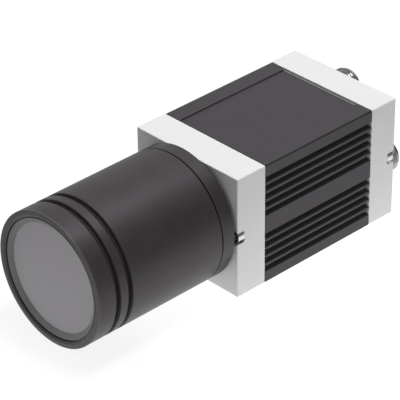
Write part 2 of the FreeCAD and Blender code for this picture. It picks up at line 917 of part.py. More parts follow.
def board(y0, thickness):
    """A bare circuit board with cut corners and holes for the standoff studs."""
    half_x = board_width / 2
    half_z = board_height / 2
    low = cavity_mid_z - half_z
    solid = block(-half_x, half_x, y0, y0 + thickness, low, low + board_height)
    uprights = []
    for edge in solid.Edges:
        box = edge.BoundBox
        if box.YMax - box.YMin > thickness / 2:
            uprights.append(edge)
    solid = solid.makeChamfer(board_corner, uprights)
    hole_r = standoff_stud_d / 2 + stud_hole_clearance
    return solid.cut([rod(hole_r, y0 - 1, y0 + thickness + 1, x, z) for x, z in standoff_places()])


def make_sensor():
    """Sensor package with its well, and the cover glass over the well."""
    half_x = sensor_package_width / 2
    half_z = sensor_package_height / 2
    package = block(-half_x, half_x, sensor_front, sensor_board_y, axis_z - half_z, axis_z + half_z)
    well_x = sensor_well_width / 2
    well_z = sensor_well_height / 2
    well_back = sensor_front + sensor_well_depth
    well = block(-well_x, well_x, sensor_front - 1, well_back, axis_z - well_z, axis_z + well_z)
    glass_x = well_x + sensor_glass_rim
    glass_z = well_z + sensor_glass_rim
    glass_front = sensor_front - sensor_glass_thickness
    glass = block(-glass_x, glass_x, glass_front, sensor_front, axis_z - glass_z, axis_z + glass_z)
    return package.cut(well), glass


def make_standoffs():
    """Hexagonal posts: cover to sensor board, to processor board, to interface board."""
    stages = [
        (front_pocket_y, sensor_board_y),
        (sensor_board_y + board_thickness, processor_board_y),
        (processor_board_y + board_thickness, io_board_y),
    ]
    posts = []
    for x, z in standoff_places():
        for y0, y1 in stages:
            post = hexagon(standoff_across_flats, y0, y1, x, z)
            stud = rod(standoff_stud_d / 2, y0 - standoff_stud_length, y0, x, z)
            socket_floor = y1 - standoff_stud_length - standoff_socket_extra
            socket = rod(standoff_stud_d / 2, socket_floor, y1 + 1, x, z)
            posts.append(joined([post, stud]).cut(socket))
    return group(posts)


def make_board_screws():
    """Pan head screws that hold the last board to its posts."""
    screws = []
    for x, z in standoff_places():
        head = rod(board_screw_head_d / 2, board_back_io, board_back_io + board_screw_head_height, x, z)
        shank = rod(standoff_stud_d / 2, board_back_io - board_screw_length, board_back_io, x, z)
        key_floor = board_back_io + board_screw_head_height / 2
        key = hexagon(board_screw_key_width, key_floor, key_floor + board_screw_head_height, x, z)
        screws.append(joined([head, shank]).cut(key))
    return group(screws)


def make_processor():
    """Processor package, its thermal pad and the aluminium heat spreader."""
    half = processor_half
    y0 = processor_board_y + board_thickness
    y1 = y0 + processor_thickness
    y2 = y1 + thermal_pad_thickness
    y3 = y2 + spreader_thickness
    chip = block(-half, half, y0, y1, cavity_mid_z - half, cavity_mid_z + half)
    pad = block(-half, half, y1, y2, cavity_mid_z - half, cavity_mid_z + half)
    low = cavity_mid_z - spreader_half
    high = cavity_mid_z + spreader_half
    wall = cavity_half_width
    inner = wall - spreader_foot_thickness
    plate = block(-wall, wall, y2, y3, low, high)
    left = block(-wall, -inner, y2, y2 + spreader_foot_length, low, high)
    right = block(inner, wall, y2, y2 + spreader_foot_length, low, high)
    return chip, pad, joined([plate, left, right])


def make_memory():
    """Two memory packages on the front of the processor board."""
    y1 = processor_board_y
    y0 = y1 - memory_thickness
    half_z = memory_depth / 2
    chips = []
    for side in (-1, 1):
        inner = side * memory_gap / 2
        outer = side * (memory_gap / 2 + memory_width)
        x0 = min(inner, outer)
        chips.append(block(x0, x0 + memory_width, y0, y1, cavity_mid_z - half_z, cavity_mid_z + half_z))
    return group(chips)


def make_board_plugs():
    """Plug strips that join the three boards near their lower edges."""
    half = board_plug_half
    flex_half = half - board_flex_inset
    low = cavity_mid_z - board_height / 2 + board_plug_edge_gap
    high = low + board_plug_height
    flex_low = (low + high - board_flex_thickness) / 2
    strips = []
    for y0, y1 in (
        (sensor_board_y + board_thickness, processor_board_y),
        (processor_board_y + board_thickness, io_board_y),
    ):
        near = y0 + board_plug_depth
        far = y1 - board_plug_depth
        plug = block(-half, half, y0, near, low, high)
        flex = block(-flex_half, flex_half, near, far, flex_low, flex_low + board_flex_thickness)
        socket = block(-half, half, far, y1, low, high)
        strips.append(joined([plug, flex, socket]))
    return group(strips)


def connector_shell(x, z):
    """Threaded metal shell of a round connector."""
    outer = connector_thread_d / 2
    collar = connector_collar_d / 2
    bore = outer - connector_shell_wall
    seat = outer - connector_back_wall
    collar_end = body_back + connector_collar_length
    back = body_back - connector_shank_length
    floor = connector_end - connector_cavity_depth
    relief_r = outer - thread_relief_depth
    relief_end = collar_end + thread_relief_length
    outline = [
        (seat, back),
        (outer, back),
        (outer, body_back),
        (collar, body_back),
        (collar, collar_end),
        (relief_r, collar_end),
        (relief_r, relief_end),
        (outer, relief_end + thread_relief_depth),
        (outer, connector_end - thread_chamfer),
        (outer - thread_chamfer, connector_end),
        (bore, connector_end),
        (bore, floor),
        (seat, floor),
    ]
    return turned(outline, x, z)


def connector_seal(x, z):
    """Square-section seal under the collar."""
    inner = connector_thread_d / 2
    outer = inner + connector_hole_clearance + connector_seal_width
    return ring(inner, outer, body_back - connector_seal_depth, body_back, x, z)


def connector_nut(x, z):
    """Hexagonal nut inside the rear cover."""
    y1 = rear_pocket_y
    y0 = y1 - connector_nut_length
    nut = hexagon(connector_nut_flats, y0, y1, x, z)
    return nut.cut(rod(connector_thread_d / 2, y0 - 1, y1 + 1, x, z))


def power_pins(x, z):
    """Pin places of the power connector: an outer and an inner circle."""
    places = []
    for count, circle in ((outer_pin_count, pin_circle_outer_d), (inner_pin_count, pin_circle_inner_d)):
        for index in range(count):
            angle = math.radians(360 * (index + 0.5) / count)
            places.append((x + circle / 2 * math.cos(angle), z + circle / 2 * math.sin(angle)))
    return places


def network_contacts(x, z):
    """Contact places of the network connector: four pairs, one to each quarter."""
    places = []
    for quarter in range(network_quarter_count):
        for side in (-1, 1):
            along = network_pair_radius
            across = side * network_pair_half_gap
            angle = 2 * math.pi * (quarter + 0.5) / network_quarter_count
            dx = along * math.cos(angle) - across * math.sin(angle)
            dz = along * math.sin(angle) + across * math.cos(angle)
            places.append((x + dx, z + dz))
    return places


def insert_body(x, z):
    """Moulded plug of plastic that fills the back of a connector shell."""
    seat = connector_thread_d / 2 - connector_back_wall - insert_clearance
    face = connector_end - connector_cavity_depth
    bore = connector_thread_d / 2 - connector_shell_wall - insert_clearance
    back = body_back - connector_shank_length
    stem = rod(seat, back, face, x, z)
    return joined([stem, rod(bore, face, face + insert_face_height, x, z)])


def make_power_connector():
    """Insert and pins of the power and signal connector."""
    x, z = connector_places()["power"]
    face = connector_end - connector_cavity_depth + insert_face_height
    places = power_pins(x, z)
    body = insert_body(x, z)
    key_r = connector_thread_d / 2 - connector_shell_wall - insert_clearance
    key_half = power_key_width / 2
    key_top = z + key_r - power_key_gap
    key_end = connector_end - power_key_set_back
    key = block(x - key_half, x + key_half, face, key_end, key_top - power_key_height, key_top)
    holes = [rod(pin_d / 2, io_board_y, connector_end, px, pz) for px, pz in places]
    pins = [rod(pin_d / 2, board_back_io, face + pin_reach, px, pz) for px, pz in places]
    return joined([body, key]).cut(holes), group(pins)


def make_network_connector():
    """Insert, with its column of sockets, and contacts of the network connector."""
    x, z = connector_places()["network"]
    face = connector_end - connector_cavity_depth + insert_face_height
    column_end = connector_end - connector_cavity_depth + network_column_reach
    places = network_contacts(x, z)
    column = rod(network_column_d / 2, face, column_end, x, z)
    body = joined([insert_body(x, z), column])
    mouth = column_end - network_mouth_depth
    cuts = [rod(network_hole_d / 2, mouth, column_end + 1, px, pz) for px, pz in places]
    cuts += [rod(pin_d / 2, io_board_y, mouth + 1, px, pz) for px, pz in places]
    key_z = z + network_column_d / 2
    half = network_key_width / 2
    key_low = key_z - network_key_depth
    cuts.append(block(x - half, x + half, face + network_key_base, column_end + 1, key_low, key_z + 1))
    contacts = []
    cup_end = column_end - network_cup_set_back
    for px, pz in places:
        tail = rod(pin_d / 2, board_back_io, mouth, px, pz)
        cup = ring(network_cup_bore_d / 2, network_hole_d / 2, mouth, cup_end, px, pz)
        contacts.append(joined([tail, cup]))
    return body.cut(cuts), group(contacts)


def make_lights():
    """Light pipes in the rear cover and the light chips behind them."""
    pipes = []
    chips = []
    chip_back = board_back_io + light_chip_height
    half = light_chip_width / 2
    for x, z in light_places():
        pipe = rod(light_pipe_d / 2, chip_back, body_back + light_pipe_stand, x, z)
        collar_y = rear_pocket_y - light_pipe_collar_length
        collar = rod(light_pipe_d / 2 + light_pipe_collar, collar_y, rear_pocket_y, x, z)
        pipes.append(joined([pipe, collar]))
        chips.append(block(x - half, x + half, board_back_io, chip_back, z - half, z + half))
    return group(pipes), group(chips)


def make_all():
    """Every sub-part by name."""
    parts = {}
    parts["front_cover"] = make_front_cover()
    parts["front_cover_seal"] = spigot_seal(housing_front + spigot_seal_back)
    parts["front_cover_screws"] = group([case_screw(x, z, counterbore_depth, 1) for x, z in screw_places()])
    parts["housing"] = make_housing()
    parts["rear_cover"] = make_rear_cover()
    parts["rear_cover_seal"] = spigot_seal(housing_back - spigot_seal_back - seal_cord_width)
    rear_seat = body_back - counterbore_depth
    parts["rear_cover_screws"] = group([case_screw(x, z, rear_seat, -1) for x, z in screw_places()])

    base, seal_y, floor_r = make_base_ring()
    parts["base_ring"] = base
    parts["tube_seal"] = o_ring(floor_r, seal_y)
    parts["base_ring_gasket"] = make_base_gasket()
    parts["base_ring_screws"] = make_base_screws()
    parts["protective_tube"] = make_tube()
    spacer, seal_y, floor_r = make_spacer_ring()
    parts["spacer_ring"] = spacer
    parts["spacer_seal"] = o_ring(floor_r, seal_y)
    bezel, seal_y, floor_r = make_bezel()
    parts["window_bezel"] = bezel
    parts["bezel_seal"] = o_ring(floor_r, seal_y)
    parts["window_glass"], parts["window_gasket"] = make_window()
    parts["window_retaining_ring"] = make_retaining_ring()

    parts["mount_ring"], parts["infrared_filter"] = make_mount_parts()
    parts["lens_barrel"] = make_lens_barrel()
    iris_screw_y = iris_back - lock_head_d / 2 - lock_edge
    focus_screw_y = focus_back - lock_head_d / 2 - lock_edge
    parts["iris_ring"] = lens_ring(iris_ring_r, iris_back, iris_front, iris_screw_y)
    parts["focus_ring"] = lens_ring(focus_ring_r, focus_back, focus_front, focus_screw_y)
    parts["iris_lock_screw"] = lock_screw(iris_ring_r, iris_screw_y)
    parts["focus_lock_screw"] = lock_screw(focus_ring_r, focus_screw_y)
    parts["optics_cell"] = make_cell()
    front, rear, retainer = make_glasses()
    parts["front_element"] = front
    parts["rear_element"] = rear
    parts["element_retainer"] = retainer
    for index in range(blade_count):
        parts["iris_blade_" + str(index + 1)] = make_blade(index)

    parts["image_sensor"], parts["sensor_glass"] = make_sensor()
    parts["sensor_board"] = board(sensor_board_y, board_thickness)
    parts["processor_board"] = board(processor_board_y, board_thickness)
    parts["interface_board"] = board(io_board_y, board_thickness)
    parts["standoffs"] = make_standoffs()
    parts["board_screws"] = make_board_screws()
    parts["processor_chip"], parts["thermal_pad"], parts["heat_spreader"] = make_processor()
    parts["memory_chips"] = make_memory()
    parts["board_plugs"] = make_board_plugs()

    for name, (x, z) in connector_places().items():
        parts[name + "_connector_shell"] = connector_shell(x, z)
        parts[name + "_connector_nut"] = connector_nut(x, z)
        parts[name + "_connector_seal"] = connector_seal(x, z)
    parts["power_connector_insert"], parts["power_connector_pins"] = make_power_connector()
    parts["network_connector_insert"], parts["network_connector_contacts"] = make_network_connector()
    parts["light_pipes"], parts["status_lights"] = make_lights()
    return parts


os.makedirs("parts", exist_ok=True)
for part_name, part_shape in make_all().items():
    export(part_name, part_shape)
    solids = len(part_shape.Solids)
    print(part_name, "solids", solids, "valid", part_shape.isValid(), "mm3", round(part_shape.Volume, 1))
print("centre_y", centre_y, "axis_z", axis_z, "front", bezel_front, "back", connector_end)
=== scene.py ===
import math

import bmesh
import bpy
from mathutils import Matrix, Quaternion, Vector


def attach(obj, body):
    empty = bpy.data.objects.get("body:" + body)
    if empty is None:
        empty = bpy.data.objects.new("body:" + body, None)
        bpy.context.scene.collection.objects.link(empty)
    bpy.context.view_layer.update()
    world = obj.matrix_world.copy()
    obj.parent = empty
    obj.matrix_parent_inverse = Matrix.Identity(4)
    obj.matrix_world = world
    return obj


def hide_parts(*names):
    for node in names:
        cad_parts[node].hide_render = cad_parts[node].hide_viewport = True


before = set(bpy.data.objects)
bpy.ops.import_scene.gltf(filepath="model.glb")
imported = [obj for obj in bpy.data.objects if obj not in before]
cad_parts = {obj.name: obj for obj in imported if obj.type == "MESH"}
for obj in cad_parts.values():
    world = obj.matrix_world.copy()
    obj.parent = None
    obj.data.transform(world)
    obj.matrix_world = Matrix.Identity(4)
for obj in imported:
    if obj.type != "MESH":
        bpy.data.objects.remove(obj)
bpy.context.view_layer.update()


# The view. The camera stands to the front right of the machine vision camera and looks down on it,
# with a long lens. Its place was fitted to the edges of the covers and of the tube.
azimuth = math.radians(46.46)
elevation = math.radians(32.17)
roll = math.radians(-0.57)
looked_at = Vector((0.01736, -0.023935, 0.03865))
view_distance = 0.75561
towards_viewer = Vector((
    math.sin(azimuth) * math.cos(elevation),
    -math.cos(azimuth) * math.cos(elevation),
    math.sin(elevation),
))
view_data = bpy.data.cameras.new("view")
view_data.sensor_width = 36.0
view_data.lens = 223.16
view_data.clip_end = 20.0
view = bpy.data.objects.new("view", view_data)
bpy.context.scene.collection.objects.link(view)
view.rotation_mode = "QUATERNION"
view.rotation_quaternion = towards_viewer.to_track_quat("Z", "Y")
view.rotation_quaternion.rotate(Quaternion(towards_viewer, roll))
view.location = looked_at + towards_viewer * view_distance
bpy.context.scene.camera = view
bpy.context.scene.view_settings.view_transform = "Standard"


# The studio. A white table glowing in a painted pool of light round the camera, a soft white ceiling
# behind and above it, a large softbox overhead, a weak one on the right, and a darker room low down on that
# side.
def lamp(name, place, aim, width, height, watts):
    """A rectangular light at a place, turned towards its aim."""
    data = bpy.data.lights.new(name, "AREA")
    data.shape = "RECTANGLE"
    data.size = width
    data.size_y = height
    data.energy = watts
    item = bpy.data.objects.new(name, data)
    bpy.context.scene.collection.objects.link(item)
    item.location = place
    item.rotation_mode = "QUATERNION"
    item.rotation_quaternion = (Vector(place) - Vector(aim)).to_track_quat("Z", "Y")


def highest(nodes, links, first, *others):
    """The largest of the given values."""
    for other in others:
        larger = nodes.new("ShaderNodeMath")
        larger.operation = "MAXIMUM"
        links.new(first, larger.inputs[0])
        links.new(other, larger.inputs[1])
        first = larger.outputs[0]
    return first


def scaled(nodes, links, value, level):
    """The value times a fixed level."""
    product = nodes.new("ShaderNodeMath")
    product.operation = "MULTIPLY"
    product.inputs[1].default_value = level
    links.new(value, product.inputs[0])
    return product.outputs[0]


lamp("overhead_softbox", place=(0.12, 0.14, 1.1), aim=(0.0, 0.0, 0.0), width=0.25, height=0.25, watts=6.95)
lamp("side_softbox", place=(1.0, 0.1, 0.45), aim=(0.0, 0.0, 0.02), width=0.4, height=0.4, watts=1.2)

room = bpy.data.worlds.new("room")
room.use_nodes = True
bpy.context.scene.world = room
nodes = room.node_tree.nodes
links = room.node_tree.links
nodes.clear()
ceiling_direction = Vector((-0.6, 0.35, 0.76)).normalized()
darkest = (0.06, 0.06, 0.061, 1.0)
brightest = (0.76, 0.76, 0.77, 1.0)
between = ((0.3, 0.20), (0.6, 0.47), (0.85, 0.67))
coolness = 1.01
direction = nodes.new("ShaderNodeTexCoord")
toward_ceiling = nodes.new("ShaderNodeVectorMath")
toward_ceiling.operation = "DOT_PRODUCT"
toward_ceiling.inputs[1].default_value = ceiling_direction
links.new(direction.outputs["Generated"], toward_ceiling.inputs[0])
ceiling = nodes.new("ShaderNodeValToRGB")
links.new(toward_ceiling.outputs["Value"], ceiling.inputs["Fac"])
ceiling.color_ramp.elements[0].color = darkest
ceiling.color_ramp.elements[1].color = brightest
for share, level in between:
    stop = ceiling.color_ramp.elements.new(share)
    stop.color = (level, level, level * coolness, 1.0)
seen_way = nodes.new("ShaderNodeLightPath")
room_light = nodes.new("ShaderNodeBackground")
links.new(ceiling.outputs["Color"], room_light.inputs["Color"])
room_light.inputs["Strength"].default_value = 1.0
white_wall = nodes.new("ShaderNodeBackground")
white_wall.inputs["Color"].default_value = (1.0, 1.0, 1.0, 1.0)
white_wall.inputs["Strength"].default_value = 1.0
choice = nodes.new("ShaderNodeMixShader")
seen = highest(nodes, links, seen_way.outputs["Is Camera Ray"], seen_way.outputs["Is Transmission Ray"])
links.new(seen, choice.inputs["Fac"])
links.new(room_light.outputs[0], choice.inputs[1])
links.new(white_wall.outputs[0], choice.inputs[2])
room_out = nodes.new("ShaderNodeOutputWorld")
links.new(choice.outputs[0], room_out.inputs["Surface"])

table_half = 3.0
table_gap = 0.0003
pool_centre = (0.012, 0.018, 0.0)
pool_inner = 0.03
pool_outer = 0.235
pool_level = 0.99
beyond_level = 0.10
seen_share = 0.88
mirrored_share = 0.45
table_grey = (0.15, 0.15, 0.15, 1.0)
table_mesh = bpy.data.meshes.new("white_table")
sheet = bmesh.new()
bmesh.ops.create_grid(sheet, x_segments=1, y_segments=1, size=table_half)
bmesh.ops.translate(sheet, verts=sheet.verts, vec=(0.0, 0.0, -table_gap))
sheet.to_mesh(table_mesh)
sheet.free()
white_table = bpy.data.objects.new("white_table", table_mesh)
bpy.context.scene.collection.objects.link(white_table)
table_top = bpy.data.materials.new("white_table_top")
table_top.use_nodes = True
nodes = table_top.node_tree.nodes
links = table_top.node_tree.links
nodes.clear()
place = nodes.new("ShaderNodeTexCoord")
away = nodes.new("ShaderNodeVectorMath")
away.operation = "DISTANCE"
away.inputs[1].default_value = pool_centre
links.new(place.outputs["Object"], away.inputs[0])
# Painted pool of light: the table itself glows, brightest round the camera and fading further out
pool = nodes.new("ShaderNodeMapRange")
pool.interpolation_type = "SMOOTHSTEP"
pool.inputs["From Min"].default_value = pool_inner
pool.inputs["From Max"].default_value = pool_outer
pool.inputs["To Min"].default_value = pool_level
pool.inputs["To Max"].default_value = beyond_level
links.new(away.outputs["Value"], pool.inputs["Value"])
shaded = nodes.new("ShaderNodeBsdfDiffuse")
shaded.inputs["Color"].default_value = table_grey
seen_way = nodes.new("ShaderNodeLightPath")
seen = highest(nodes, links, seen_way.outputs["Is Camera Ray"], seen_way.outputs["Is Transmission Ray"])
seen_level = scaled(nodes, links, seen, seen_share)
mirrored_level = scaled(nodes, links, seen_way.outputs["Is Glossy Ray"], mirrored_share)
glow = nodes.new("ShaderNodeEmission")
glow.inputs["Color"].default_value = (1.0, 1.0, 1.0, 1.0)
links.new(highest(nodes, links, seen_level, mirrored_level, pool.outputs[0]), glow.inputs["Strength"])
white = nodes.new("ShaderNodeAddShader")
links.new(shaded.outputs[0], white.inputs[0])
links.new(glow.outputs[0], white.inputs[1])
table_out = nodes.new("ShaderNodeOutputMaterial")
links.new(white.outputs[0], table_out.inputs["Surface"])
table_mesh.materials.append(table_top)


# The housing. A square aluminium profile, sawn to length, shot with fine glass beads and black
# anodised: matt, a little uneven, with die lines along its length; its grooves get a greyer colour as
# painted light.
grain_low = 0.3
grain_high = 0.7


def finish(name):
    """A new material with its nodes, its links and its main shader."""
    made = bpy.data.materials.new(name)
    made.use_nodes = True
    return made, made.node_tree.nodes, made.node_tree.links, made.node_tree.nodes["Principled BSDF"]


def grain(nodes, links, scale, detail, stretch=(1.0, 1.0, 1.0)):
    """Noise over the object, mostly between grain_low and grain_high."""
    place = nodes.new("ShaderNodeTexCoord")
    turn = nodes.new("ShaderNodeMapping")
    turn.inputs["Scale"].default_value = stretch
    links.new(place.outputs["Object"], turn.inputs["Vector"])
    noise = nodes.new("ShaderNodeTexNoise")
    noise.inputs["Scale"].default_value = scale
    noise.inputs["Detail"].default_value = detail
    links.new(turn.outputs[0], noise.inputs["Vector"])
    return noise.outputs["Fac"]


def shade(nodes, links, value, low, high, low_at=grain_low, high_at=grain_high):
    """A colour that runs from low to high as the value does."""
    ramp = nodes.new("ShaderNodeValToRGB")
    ramp.color_ramp.elements[0].position = low_at
    ramp.color_ramp.elements[0].color = (*low, 1.0)
    ramp.color_ramp.elements[1].position = high_at
    ramp.color_ramp.elements[1].color = (*high, 1.0)
    links.new(value, ramp.inputs["Fac"])
    return ramp.outputs["Color"]


def spread(nodes, links, value, low, high):
    """A number that runs from low to high as the grain does."""
    ramp = nodes.new("ShaderNodeMapRange")
    ramp.inputs["From Min"].default_value = grain_low
    ramp.inputs["From Max"].default_value = grain_high
    ramp.inputs["To Min"].default_value = low
    ramp.inputs["To Max"].default_value = high
    links.new(value, ramp.inputs["Value"])
    return ramp.outputs["Result"]


def relief(nodes, links, shader, value, depth, strength):
    """Raises the surface with the value, on top of any relief that it has."""
    bump = nodes.new("ShaderNodeBump")
    bump.inputs["Distance"].default_value = depth
    bump.inputs["Strength"].default_value = strength
    links.new(value, bump.inputs["Height"])
    earlier = shader.inputs["Normal"].links
    if earlier:
        links.new(earlier[0].from_socket, bump.inputs["Normal"])
    links.new(bump.outputs[0], shader.inputs["Normal"])


def coordinates(nodes, links):
    """The place on the object: as a vector, and as X, Y and Z."""
    place = nodes.new("ShaderNodeTexCoord")
    apart = nodes.new("ShaderNodeSeparateXYZ")
    links.new(place.outputs["Object"], apart.inputs[0])
    return place.outputs["Object"], apart.outputs["X"], apart.outputs["Y"], apart.outputs["Z"]


def within(nodes, links, spans):
    """1 where every value lies in its span, 0 elsewhere."""
    product = None
    for value, low, high in spans:
        near = nodes.new("ShaderNodeMath")
        near.operation = "COMPARE"
        near.inputs[1].default_value = (low + high) / 2
        near.inputs[2].default_value = (high - low) / 2
        links.new(value, near.inputs[0])
        if product is None:
            product = near.outputs[0]
            continue
        both = nodes.new("ShaderNodeMath")
        both.operation = "MULTIPLY"
        links.new(product, both.inputs[0])
        links.new(near.outputs[0], both.inputs[1])
        product = both.outputs[0]
    return product


def blend(nodes, links, share, first, second):
    """The first colour, and the second where the share is 1."""
    mix = nodes.new("ShaderNodeMixRGB")
    links.new(share, mix.inputs["Fac"])
    links.new(first, mix.inputs["Color1"])
    mix.inputs["Color2"].default_value = (*second, 1.0)
    return mix.outputs["Color"]


def dress(material, *names):
    """Gives the material to the named nodes of the frame."""
    for name in names:
        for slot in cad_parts[name].material_slots:
            slot.material = material


black_profile, nodes, links, shader = finish("black_anodised_profile")
blast = grain(nodes, links, scale=9000.0, detail=3.0)
cloud = grain(nodes, links, scale=180.0, detail=4.0)
drawn = grain(nodes, links, scale=2500.0, detail=2.0, stretch=(1.0, 0.012, 1.0))
outer = shade(nodes, links, cloud, (0.0325, 0.0290, 0.0325), (0.0385, 0.0345, 0.0385))
_, across, along, up = coordinates(nodes, links)

# Painted light: whatever lies behind the outer faces of the two sides, the cooling grooves and the inside,
# is coloured greyer
behind_flanks_x = (-0.0223, 0.0223)
below_roof_z = (-0.001, 0.0420)
groove_painted_light_colour = (0.095, 0.089, 0.095)
grooved = within(nodes, links, [(across, *behind_flanks_x), (up, *below_roof_z)])
grooves_painted_light = blend(nodes, links, grooved, outer, groove_painted_light_colour)

# A painted shadow line where the front cover meets the housing
seam_y = (-0.002, -0.00062)
seam_shadow_colour = (0.004, 0.004, 0.004)
seam_shadow = within(nodes, links, [(along, *seam_y)])
seam_shadowed = blend(nodes, links, seam_shadow, grooves_painted_light, seam_shadow_colour)

# The rear wall of the shallow pocket in the roof, a thin painted highlight
pocket_wall_x = (-0.0163, 0.0163)
pocket_wall_y = (0.0464, 0.04685)
pocket_wall_z = (0.04268, 0.0436)
pocket_highlight_colour = (0.36, 0.35, 0.36)
pocket_wall_highlight = within(nodes, links, [
    (across, *pocket_wall_x), (along, *pocket_wall_y), (up, *pocket_wall_z),
])
links.new(blend(nodes, links, pocket_wall_highlight, seam_shadowed, pocket_highlight_colour), shader.inputs["Base Color"])
links.new(spread(nodes, links, drawn, 0.49, 0.55), shader.inputs["Roughness"])
relief(nodes, links, shader, blast, depth=0.00001, strength=0.5)
relief(nodes, links, shader, drawn, depth=0.000003, strength=0.3)
shader.inputs["Specular IOR Level"].default_value = 0.52
shader.inputs["Specular Tint"].default_value = (1.0, 0.95, 1.0, 1.0)
dress(black_profile, "housing")


# The two end covers. Machined from aluminium block and powder coated in light grey; the coat
# rounds the edges and leaves a faint orange peel. Two socket screws hold each to the housing.
grey_coat, nodes, links, shader = finish("light_grey_powder_coat")
peel = grain(nodes, links, scale=2600.0, detail=2.0)
speck = grain(nodes, links, scale=11000.0, detail=2.0)
cloud = grain(nodes, links, scale=90.0, detail=3.0)
links.new(shade(nodes, links, cloud, (0.80, 0.80, 0.81), (0.83, 0.83, 0.84)), shader.inputs["Base Color"])
links.new(spread(nodes, links, speck, 0.42, 0.55), shader.inputs["Roughness"])
relief(nodes, links, shader, peel, depth=0.000012, strength=0.45)
relief(nodes, links, shader, speck, depth=0.000004, strength=0.3)
dress(grey_coat, "front_cover", "rear_cover")


def plain_finish(
    name, scale, detail, colours, roughness, depth=0.0, strength=0.0, stretch=(1.0, 1.0, 1.0), fixed=None,
):
    """A finish whose colour, roughness and relief follow one grain; fixed values go by socket name."""
    made, nodes, links, shader = finish(name)
    value = grain(nodes, links, scale, detail, stretch)
    links.new(shade(nodes, links, value, *colours), shader.inputs["Base Color"])
    links.new(spread(nodes, links, value, *roughness), shader.inputs["Roughness"])
    if depth:
        relief(nodes, links, shader, value, depth, strength)
    for socket, setting in (fixed or {}).items():
        shader.inputs[socket].default_value = setting
    return made


soft_rubber = plain_finish(
    "black_seal_rubber",
    scale=6000.0,
    detail=4.0,
    colours=((0.012, 0.012, 0.013), (0.022, 0.022, 0.023)),
    roughness=(0.6, 0.8),
    depth=0.00001,
    strength=0.4,
)
dress(soft_rubber, "front_cover_seal", "rear_cover_seal")

bright_steel, nodes, links, shader = finish("zinc_plated_steel")
turned = grain(nodes, links, scale=5000.0, detail=3.0)
bloom = grain(nodes, links, scale=700.0, detail=3.0)
links.new(shade(nodes, links, bloom, (0.62, 0.62, 0.61), (0.80, 0.80, 0.79)), shader.inputs["Base Color"])
links.new(spread(nodes, links, turned, 0.18, 0.34), shader.inputs["Roughness"])
relief(nodes, links, shader, turned, depth=0.000006, strength=0.3)
shader.inputs["Metallic"].default_value = 1.0
dress(bright_steel, "front_cover_screws", "rear_cover_screws")


# The protective tube and its rings. Turned from aluminium bar and black anodised, with the fine
# tool marks of a lathe round them; they plug into each other and are sealed by round cords.
wave_length = 0.3142


def lathe_marks(nodes, links, pitch):
    """Fine rings along Y; the wave repeats every wave_length / scale."""
    place = nodes.new("ShaderNodeTexCoord")
    wave = nodes.new("ShaderNodeTexWave")
    wave.bands_direction = "Y"
    wave.inputs["Scale"].default_value = wave_length / pitch
    wave.inputs["Distortion"].default_value = 0.4
    wave.inputs["Detail"].default_value = 2.0
    wave.inputs["Detail Scale"].default_value = 3.0
    links.new(place.outputs["Object"], wave.inputs["Vector"])
    return wave.outputs["Fac"]


tool_pitch = 0.00012
black_turned, nodes, links, shader = finish("black_anodised_turned")
marks = lathe_marks(nodes, links, tool_pitch)
blast = grain(nodes, links, scale=8000.0, detail=3.0)
cloud = grain(nodes, links, scale=150.0, detail=4.0)
outer = shade(nodes, links, cloud, (0.0235, 0.0190, 0.0220), (0.0310, 0.0260, 0.0295))
place, _, along, _ = coordinates(nodes, links)

tube_axis_z = 0.02295
from_axis = nodes.new("ShaderNodeVectorMath")
from_axis.operation = "MULTIPLY_ADD"
from_axis.inputs[1].default_value = (1.0, 0.0, 1.0)
from_axis.inputs[2].default_value = (0.0, 0.0, -tube_axis_z)
links.new(place, from_axis.inputs[0])
out_by = nodes.new("ShaderNodeVectorMath")
out_by.operation = "LENGTH"
links.new(from_axis.outputs[0], out_by.inputs[0])
radius_here = out_by.outputs["Value"]

# The rear walls of the two ring grooves, painted a little greyer than the outside as painted light
groove_wall_r = (0.0217, 0.02274)
spacer_wall_y = (-0.0619, -0.0616)
tube_wall_y = (-0.0570, -0.0567)
groove_wall_painted_light_colour = (0.11, 0.104, 0.109)
spacer_wall = within(nodes, links, [(radius_here, *groove_wall_r), (along, *spacer_wall_y)])
tube_wall = within(nodes, links, [(radius_here, *groove_wall_r), (along, *tube_wall_y)])
walls = highest(nodes, links, spacer_wall, tube_wall)
walls_painted_light = blend(nodes, links, walls, outer, groove_wall_painted_light_colour)

# The front face of the window bezel, greyer too: painted light
front_face_y = (-0.0712, -0.0702)
front_face_painted_light_colour = (0.086, 0.080, 0.085)
front_face = within(nodes, links, [(along, *front_face_y)])
links.new(blend(nodes, links, front_face, walls_painted_light, front_face_painted_light_colour), shader.inputs["Base Color"])
links.new(spread(nodes, links, blast, 0.38, 0.48), shader.inputs["Roughness"])

# The floors of the two ring grooves, dull
groove_floor_r = (0.0210, 0.0218)
ring_grooves_y = (-0.0650, -0.0560)
ring_sheen = 0.52
groove_sheen = 0.1
grooved = within(nodes, links, [(radius_here, *groove_floor_r), (along, *ring_grooves_y)])
dull = nodes.new("ShaderNodeMapRange")
dull.inputs["To Min"].default_value = ring_sheen
dull.inputs["To Max"].default_value = groove_sheen
links.new(grooved, dull.inputs["Value"])
links.new(dull.outputs["Result"], shader.inputs["Specular IOR Level"])
relief(nodes, links, shader, marks, depth=0.0000015, strength=0.35)
relief(nodes, links, shader, blast, depth=0.000004, strength=0.25)
shader.inputs["Specular Tint"].default_value = (1.0, 0.95, 1.0, 1.0)
dress(black_turned, "base_ring", "protective_tube", "spacer_ring", "window_bezel")
dress(soft_rubber, "base_ring_gasket", "tube_seal", "spacer_seal", "bezel_seal", "window_gasket")
dress(bright_steel, "base_ring_screws")


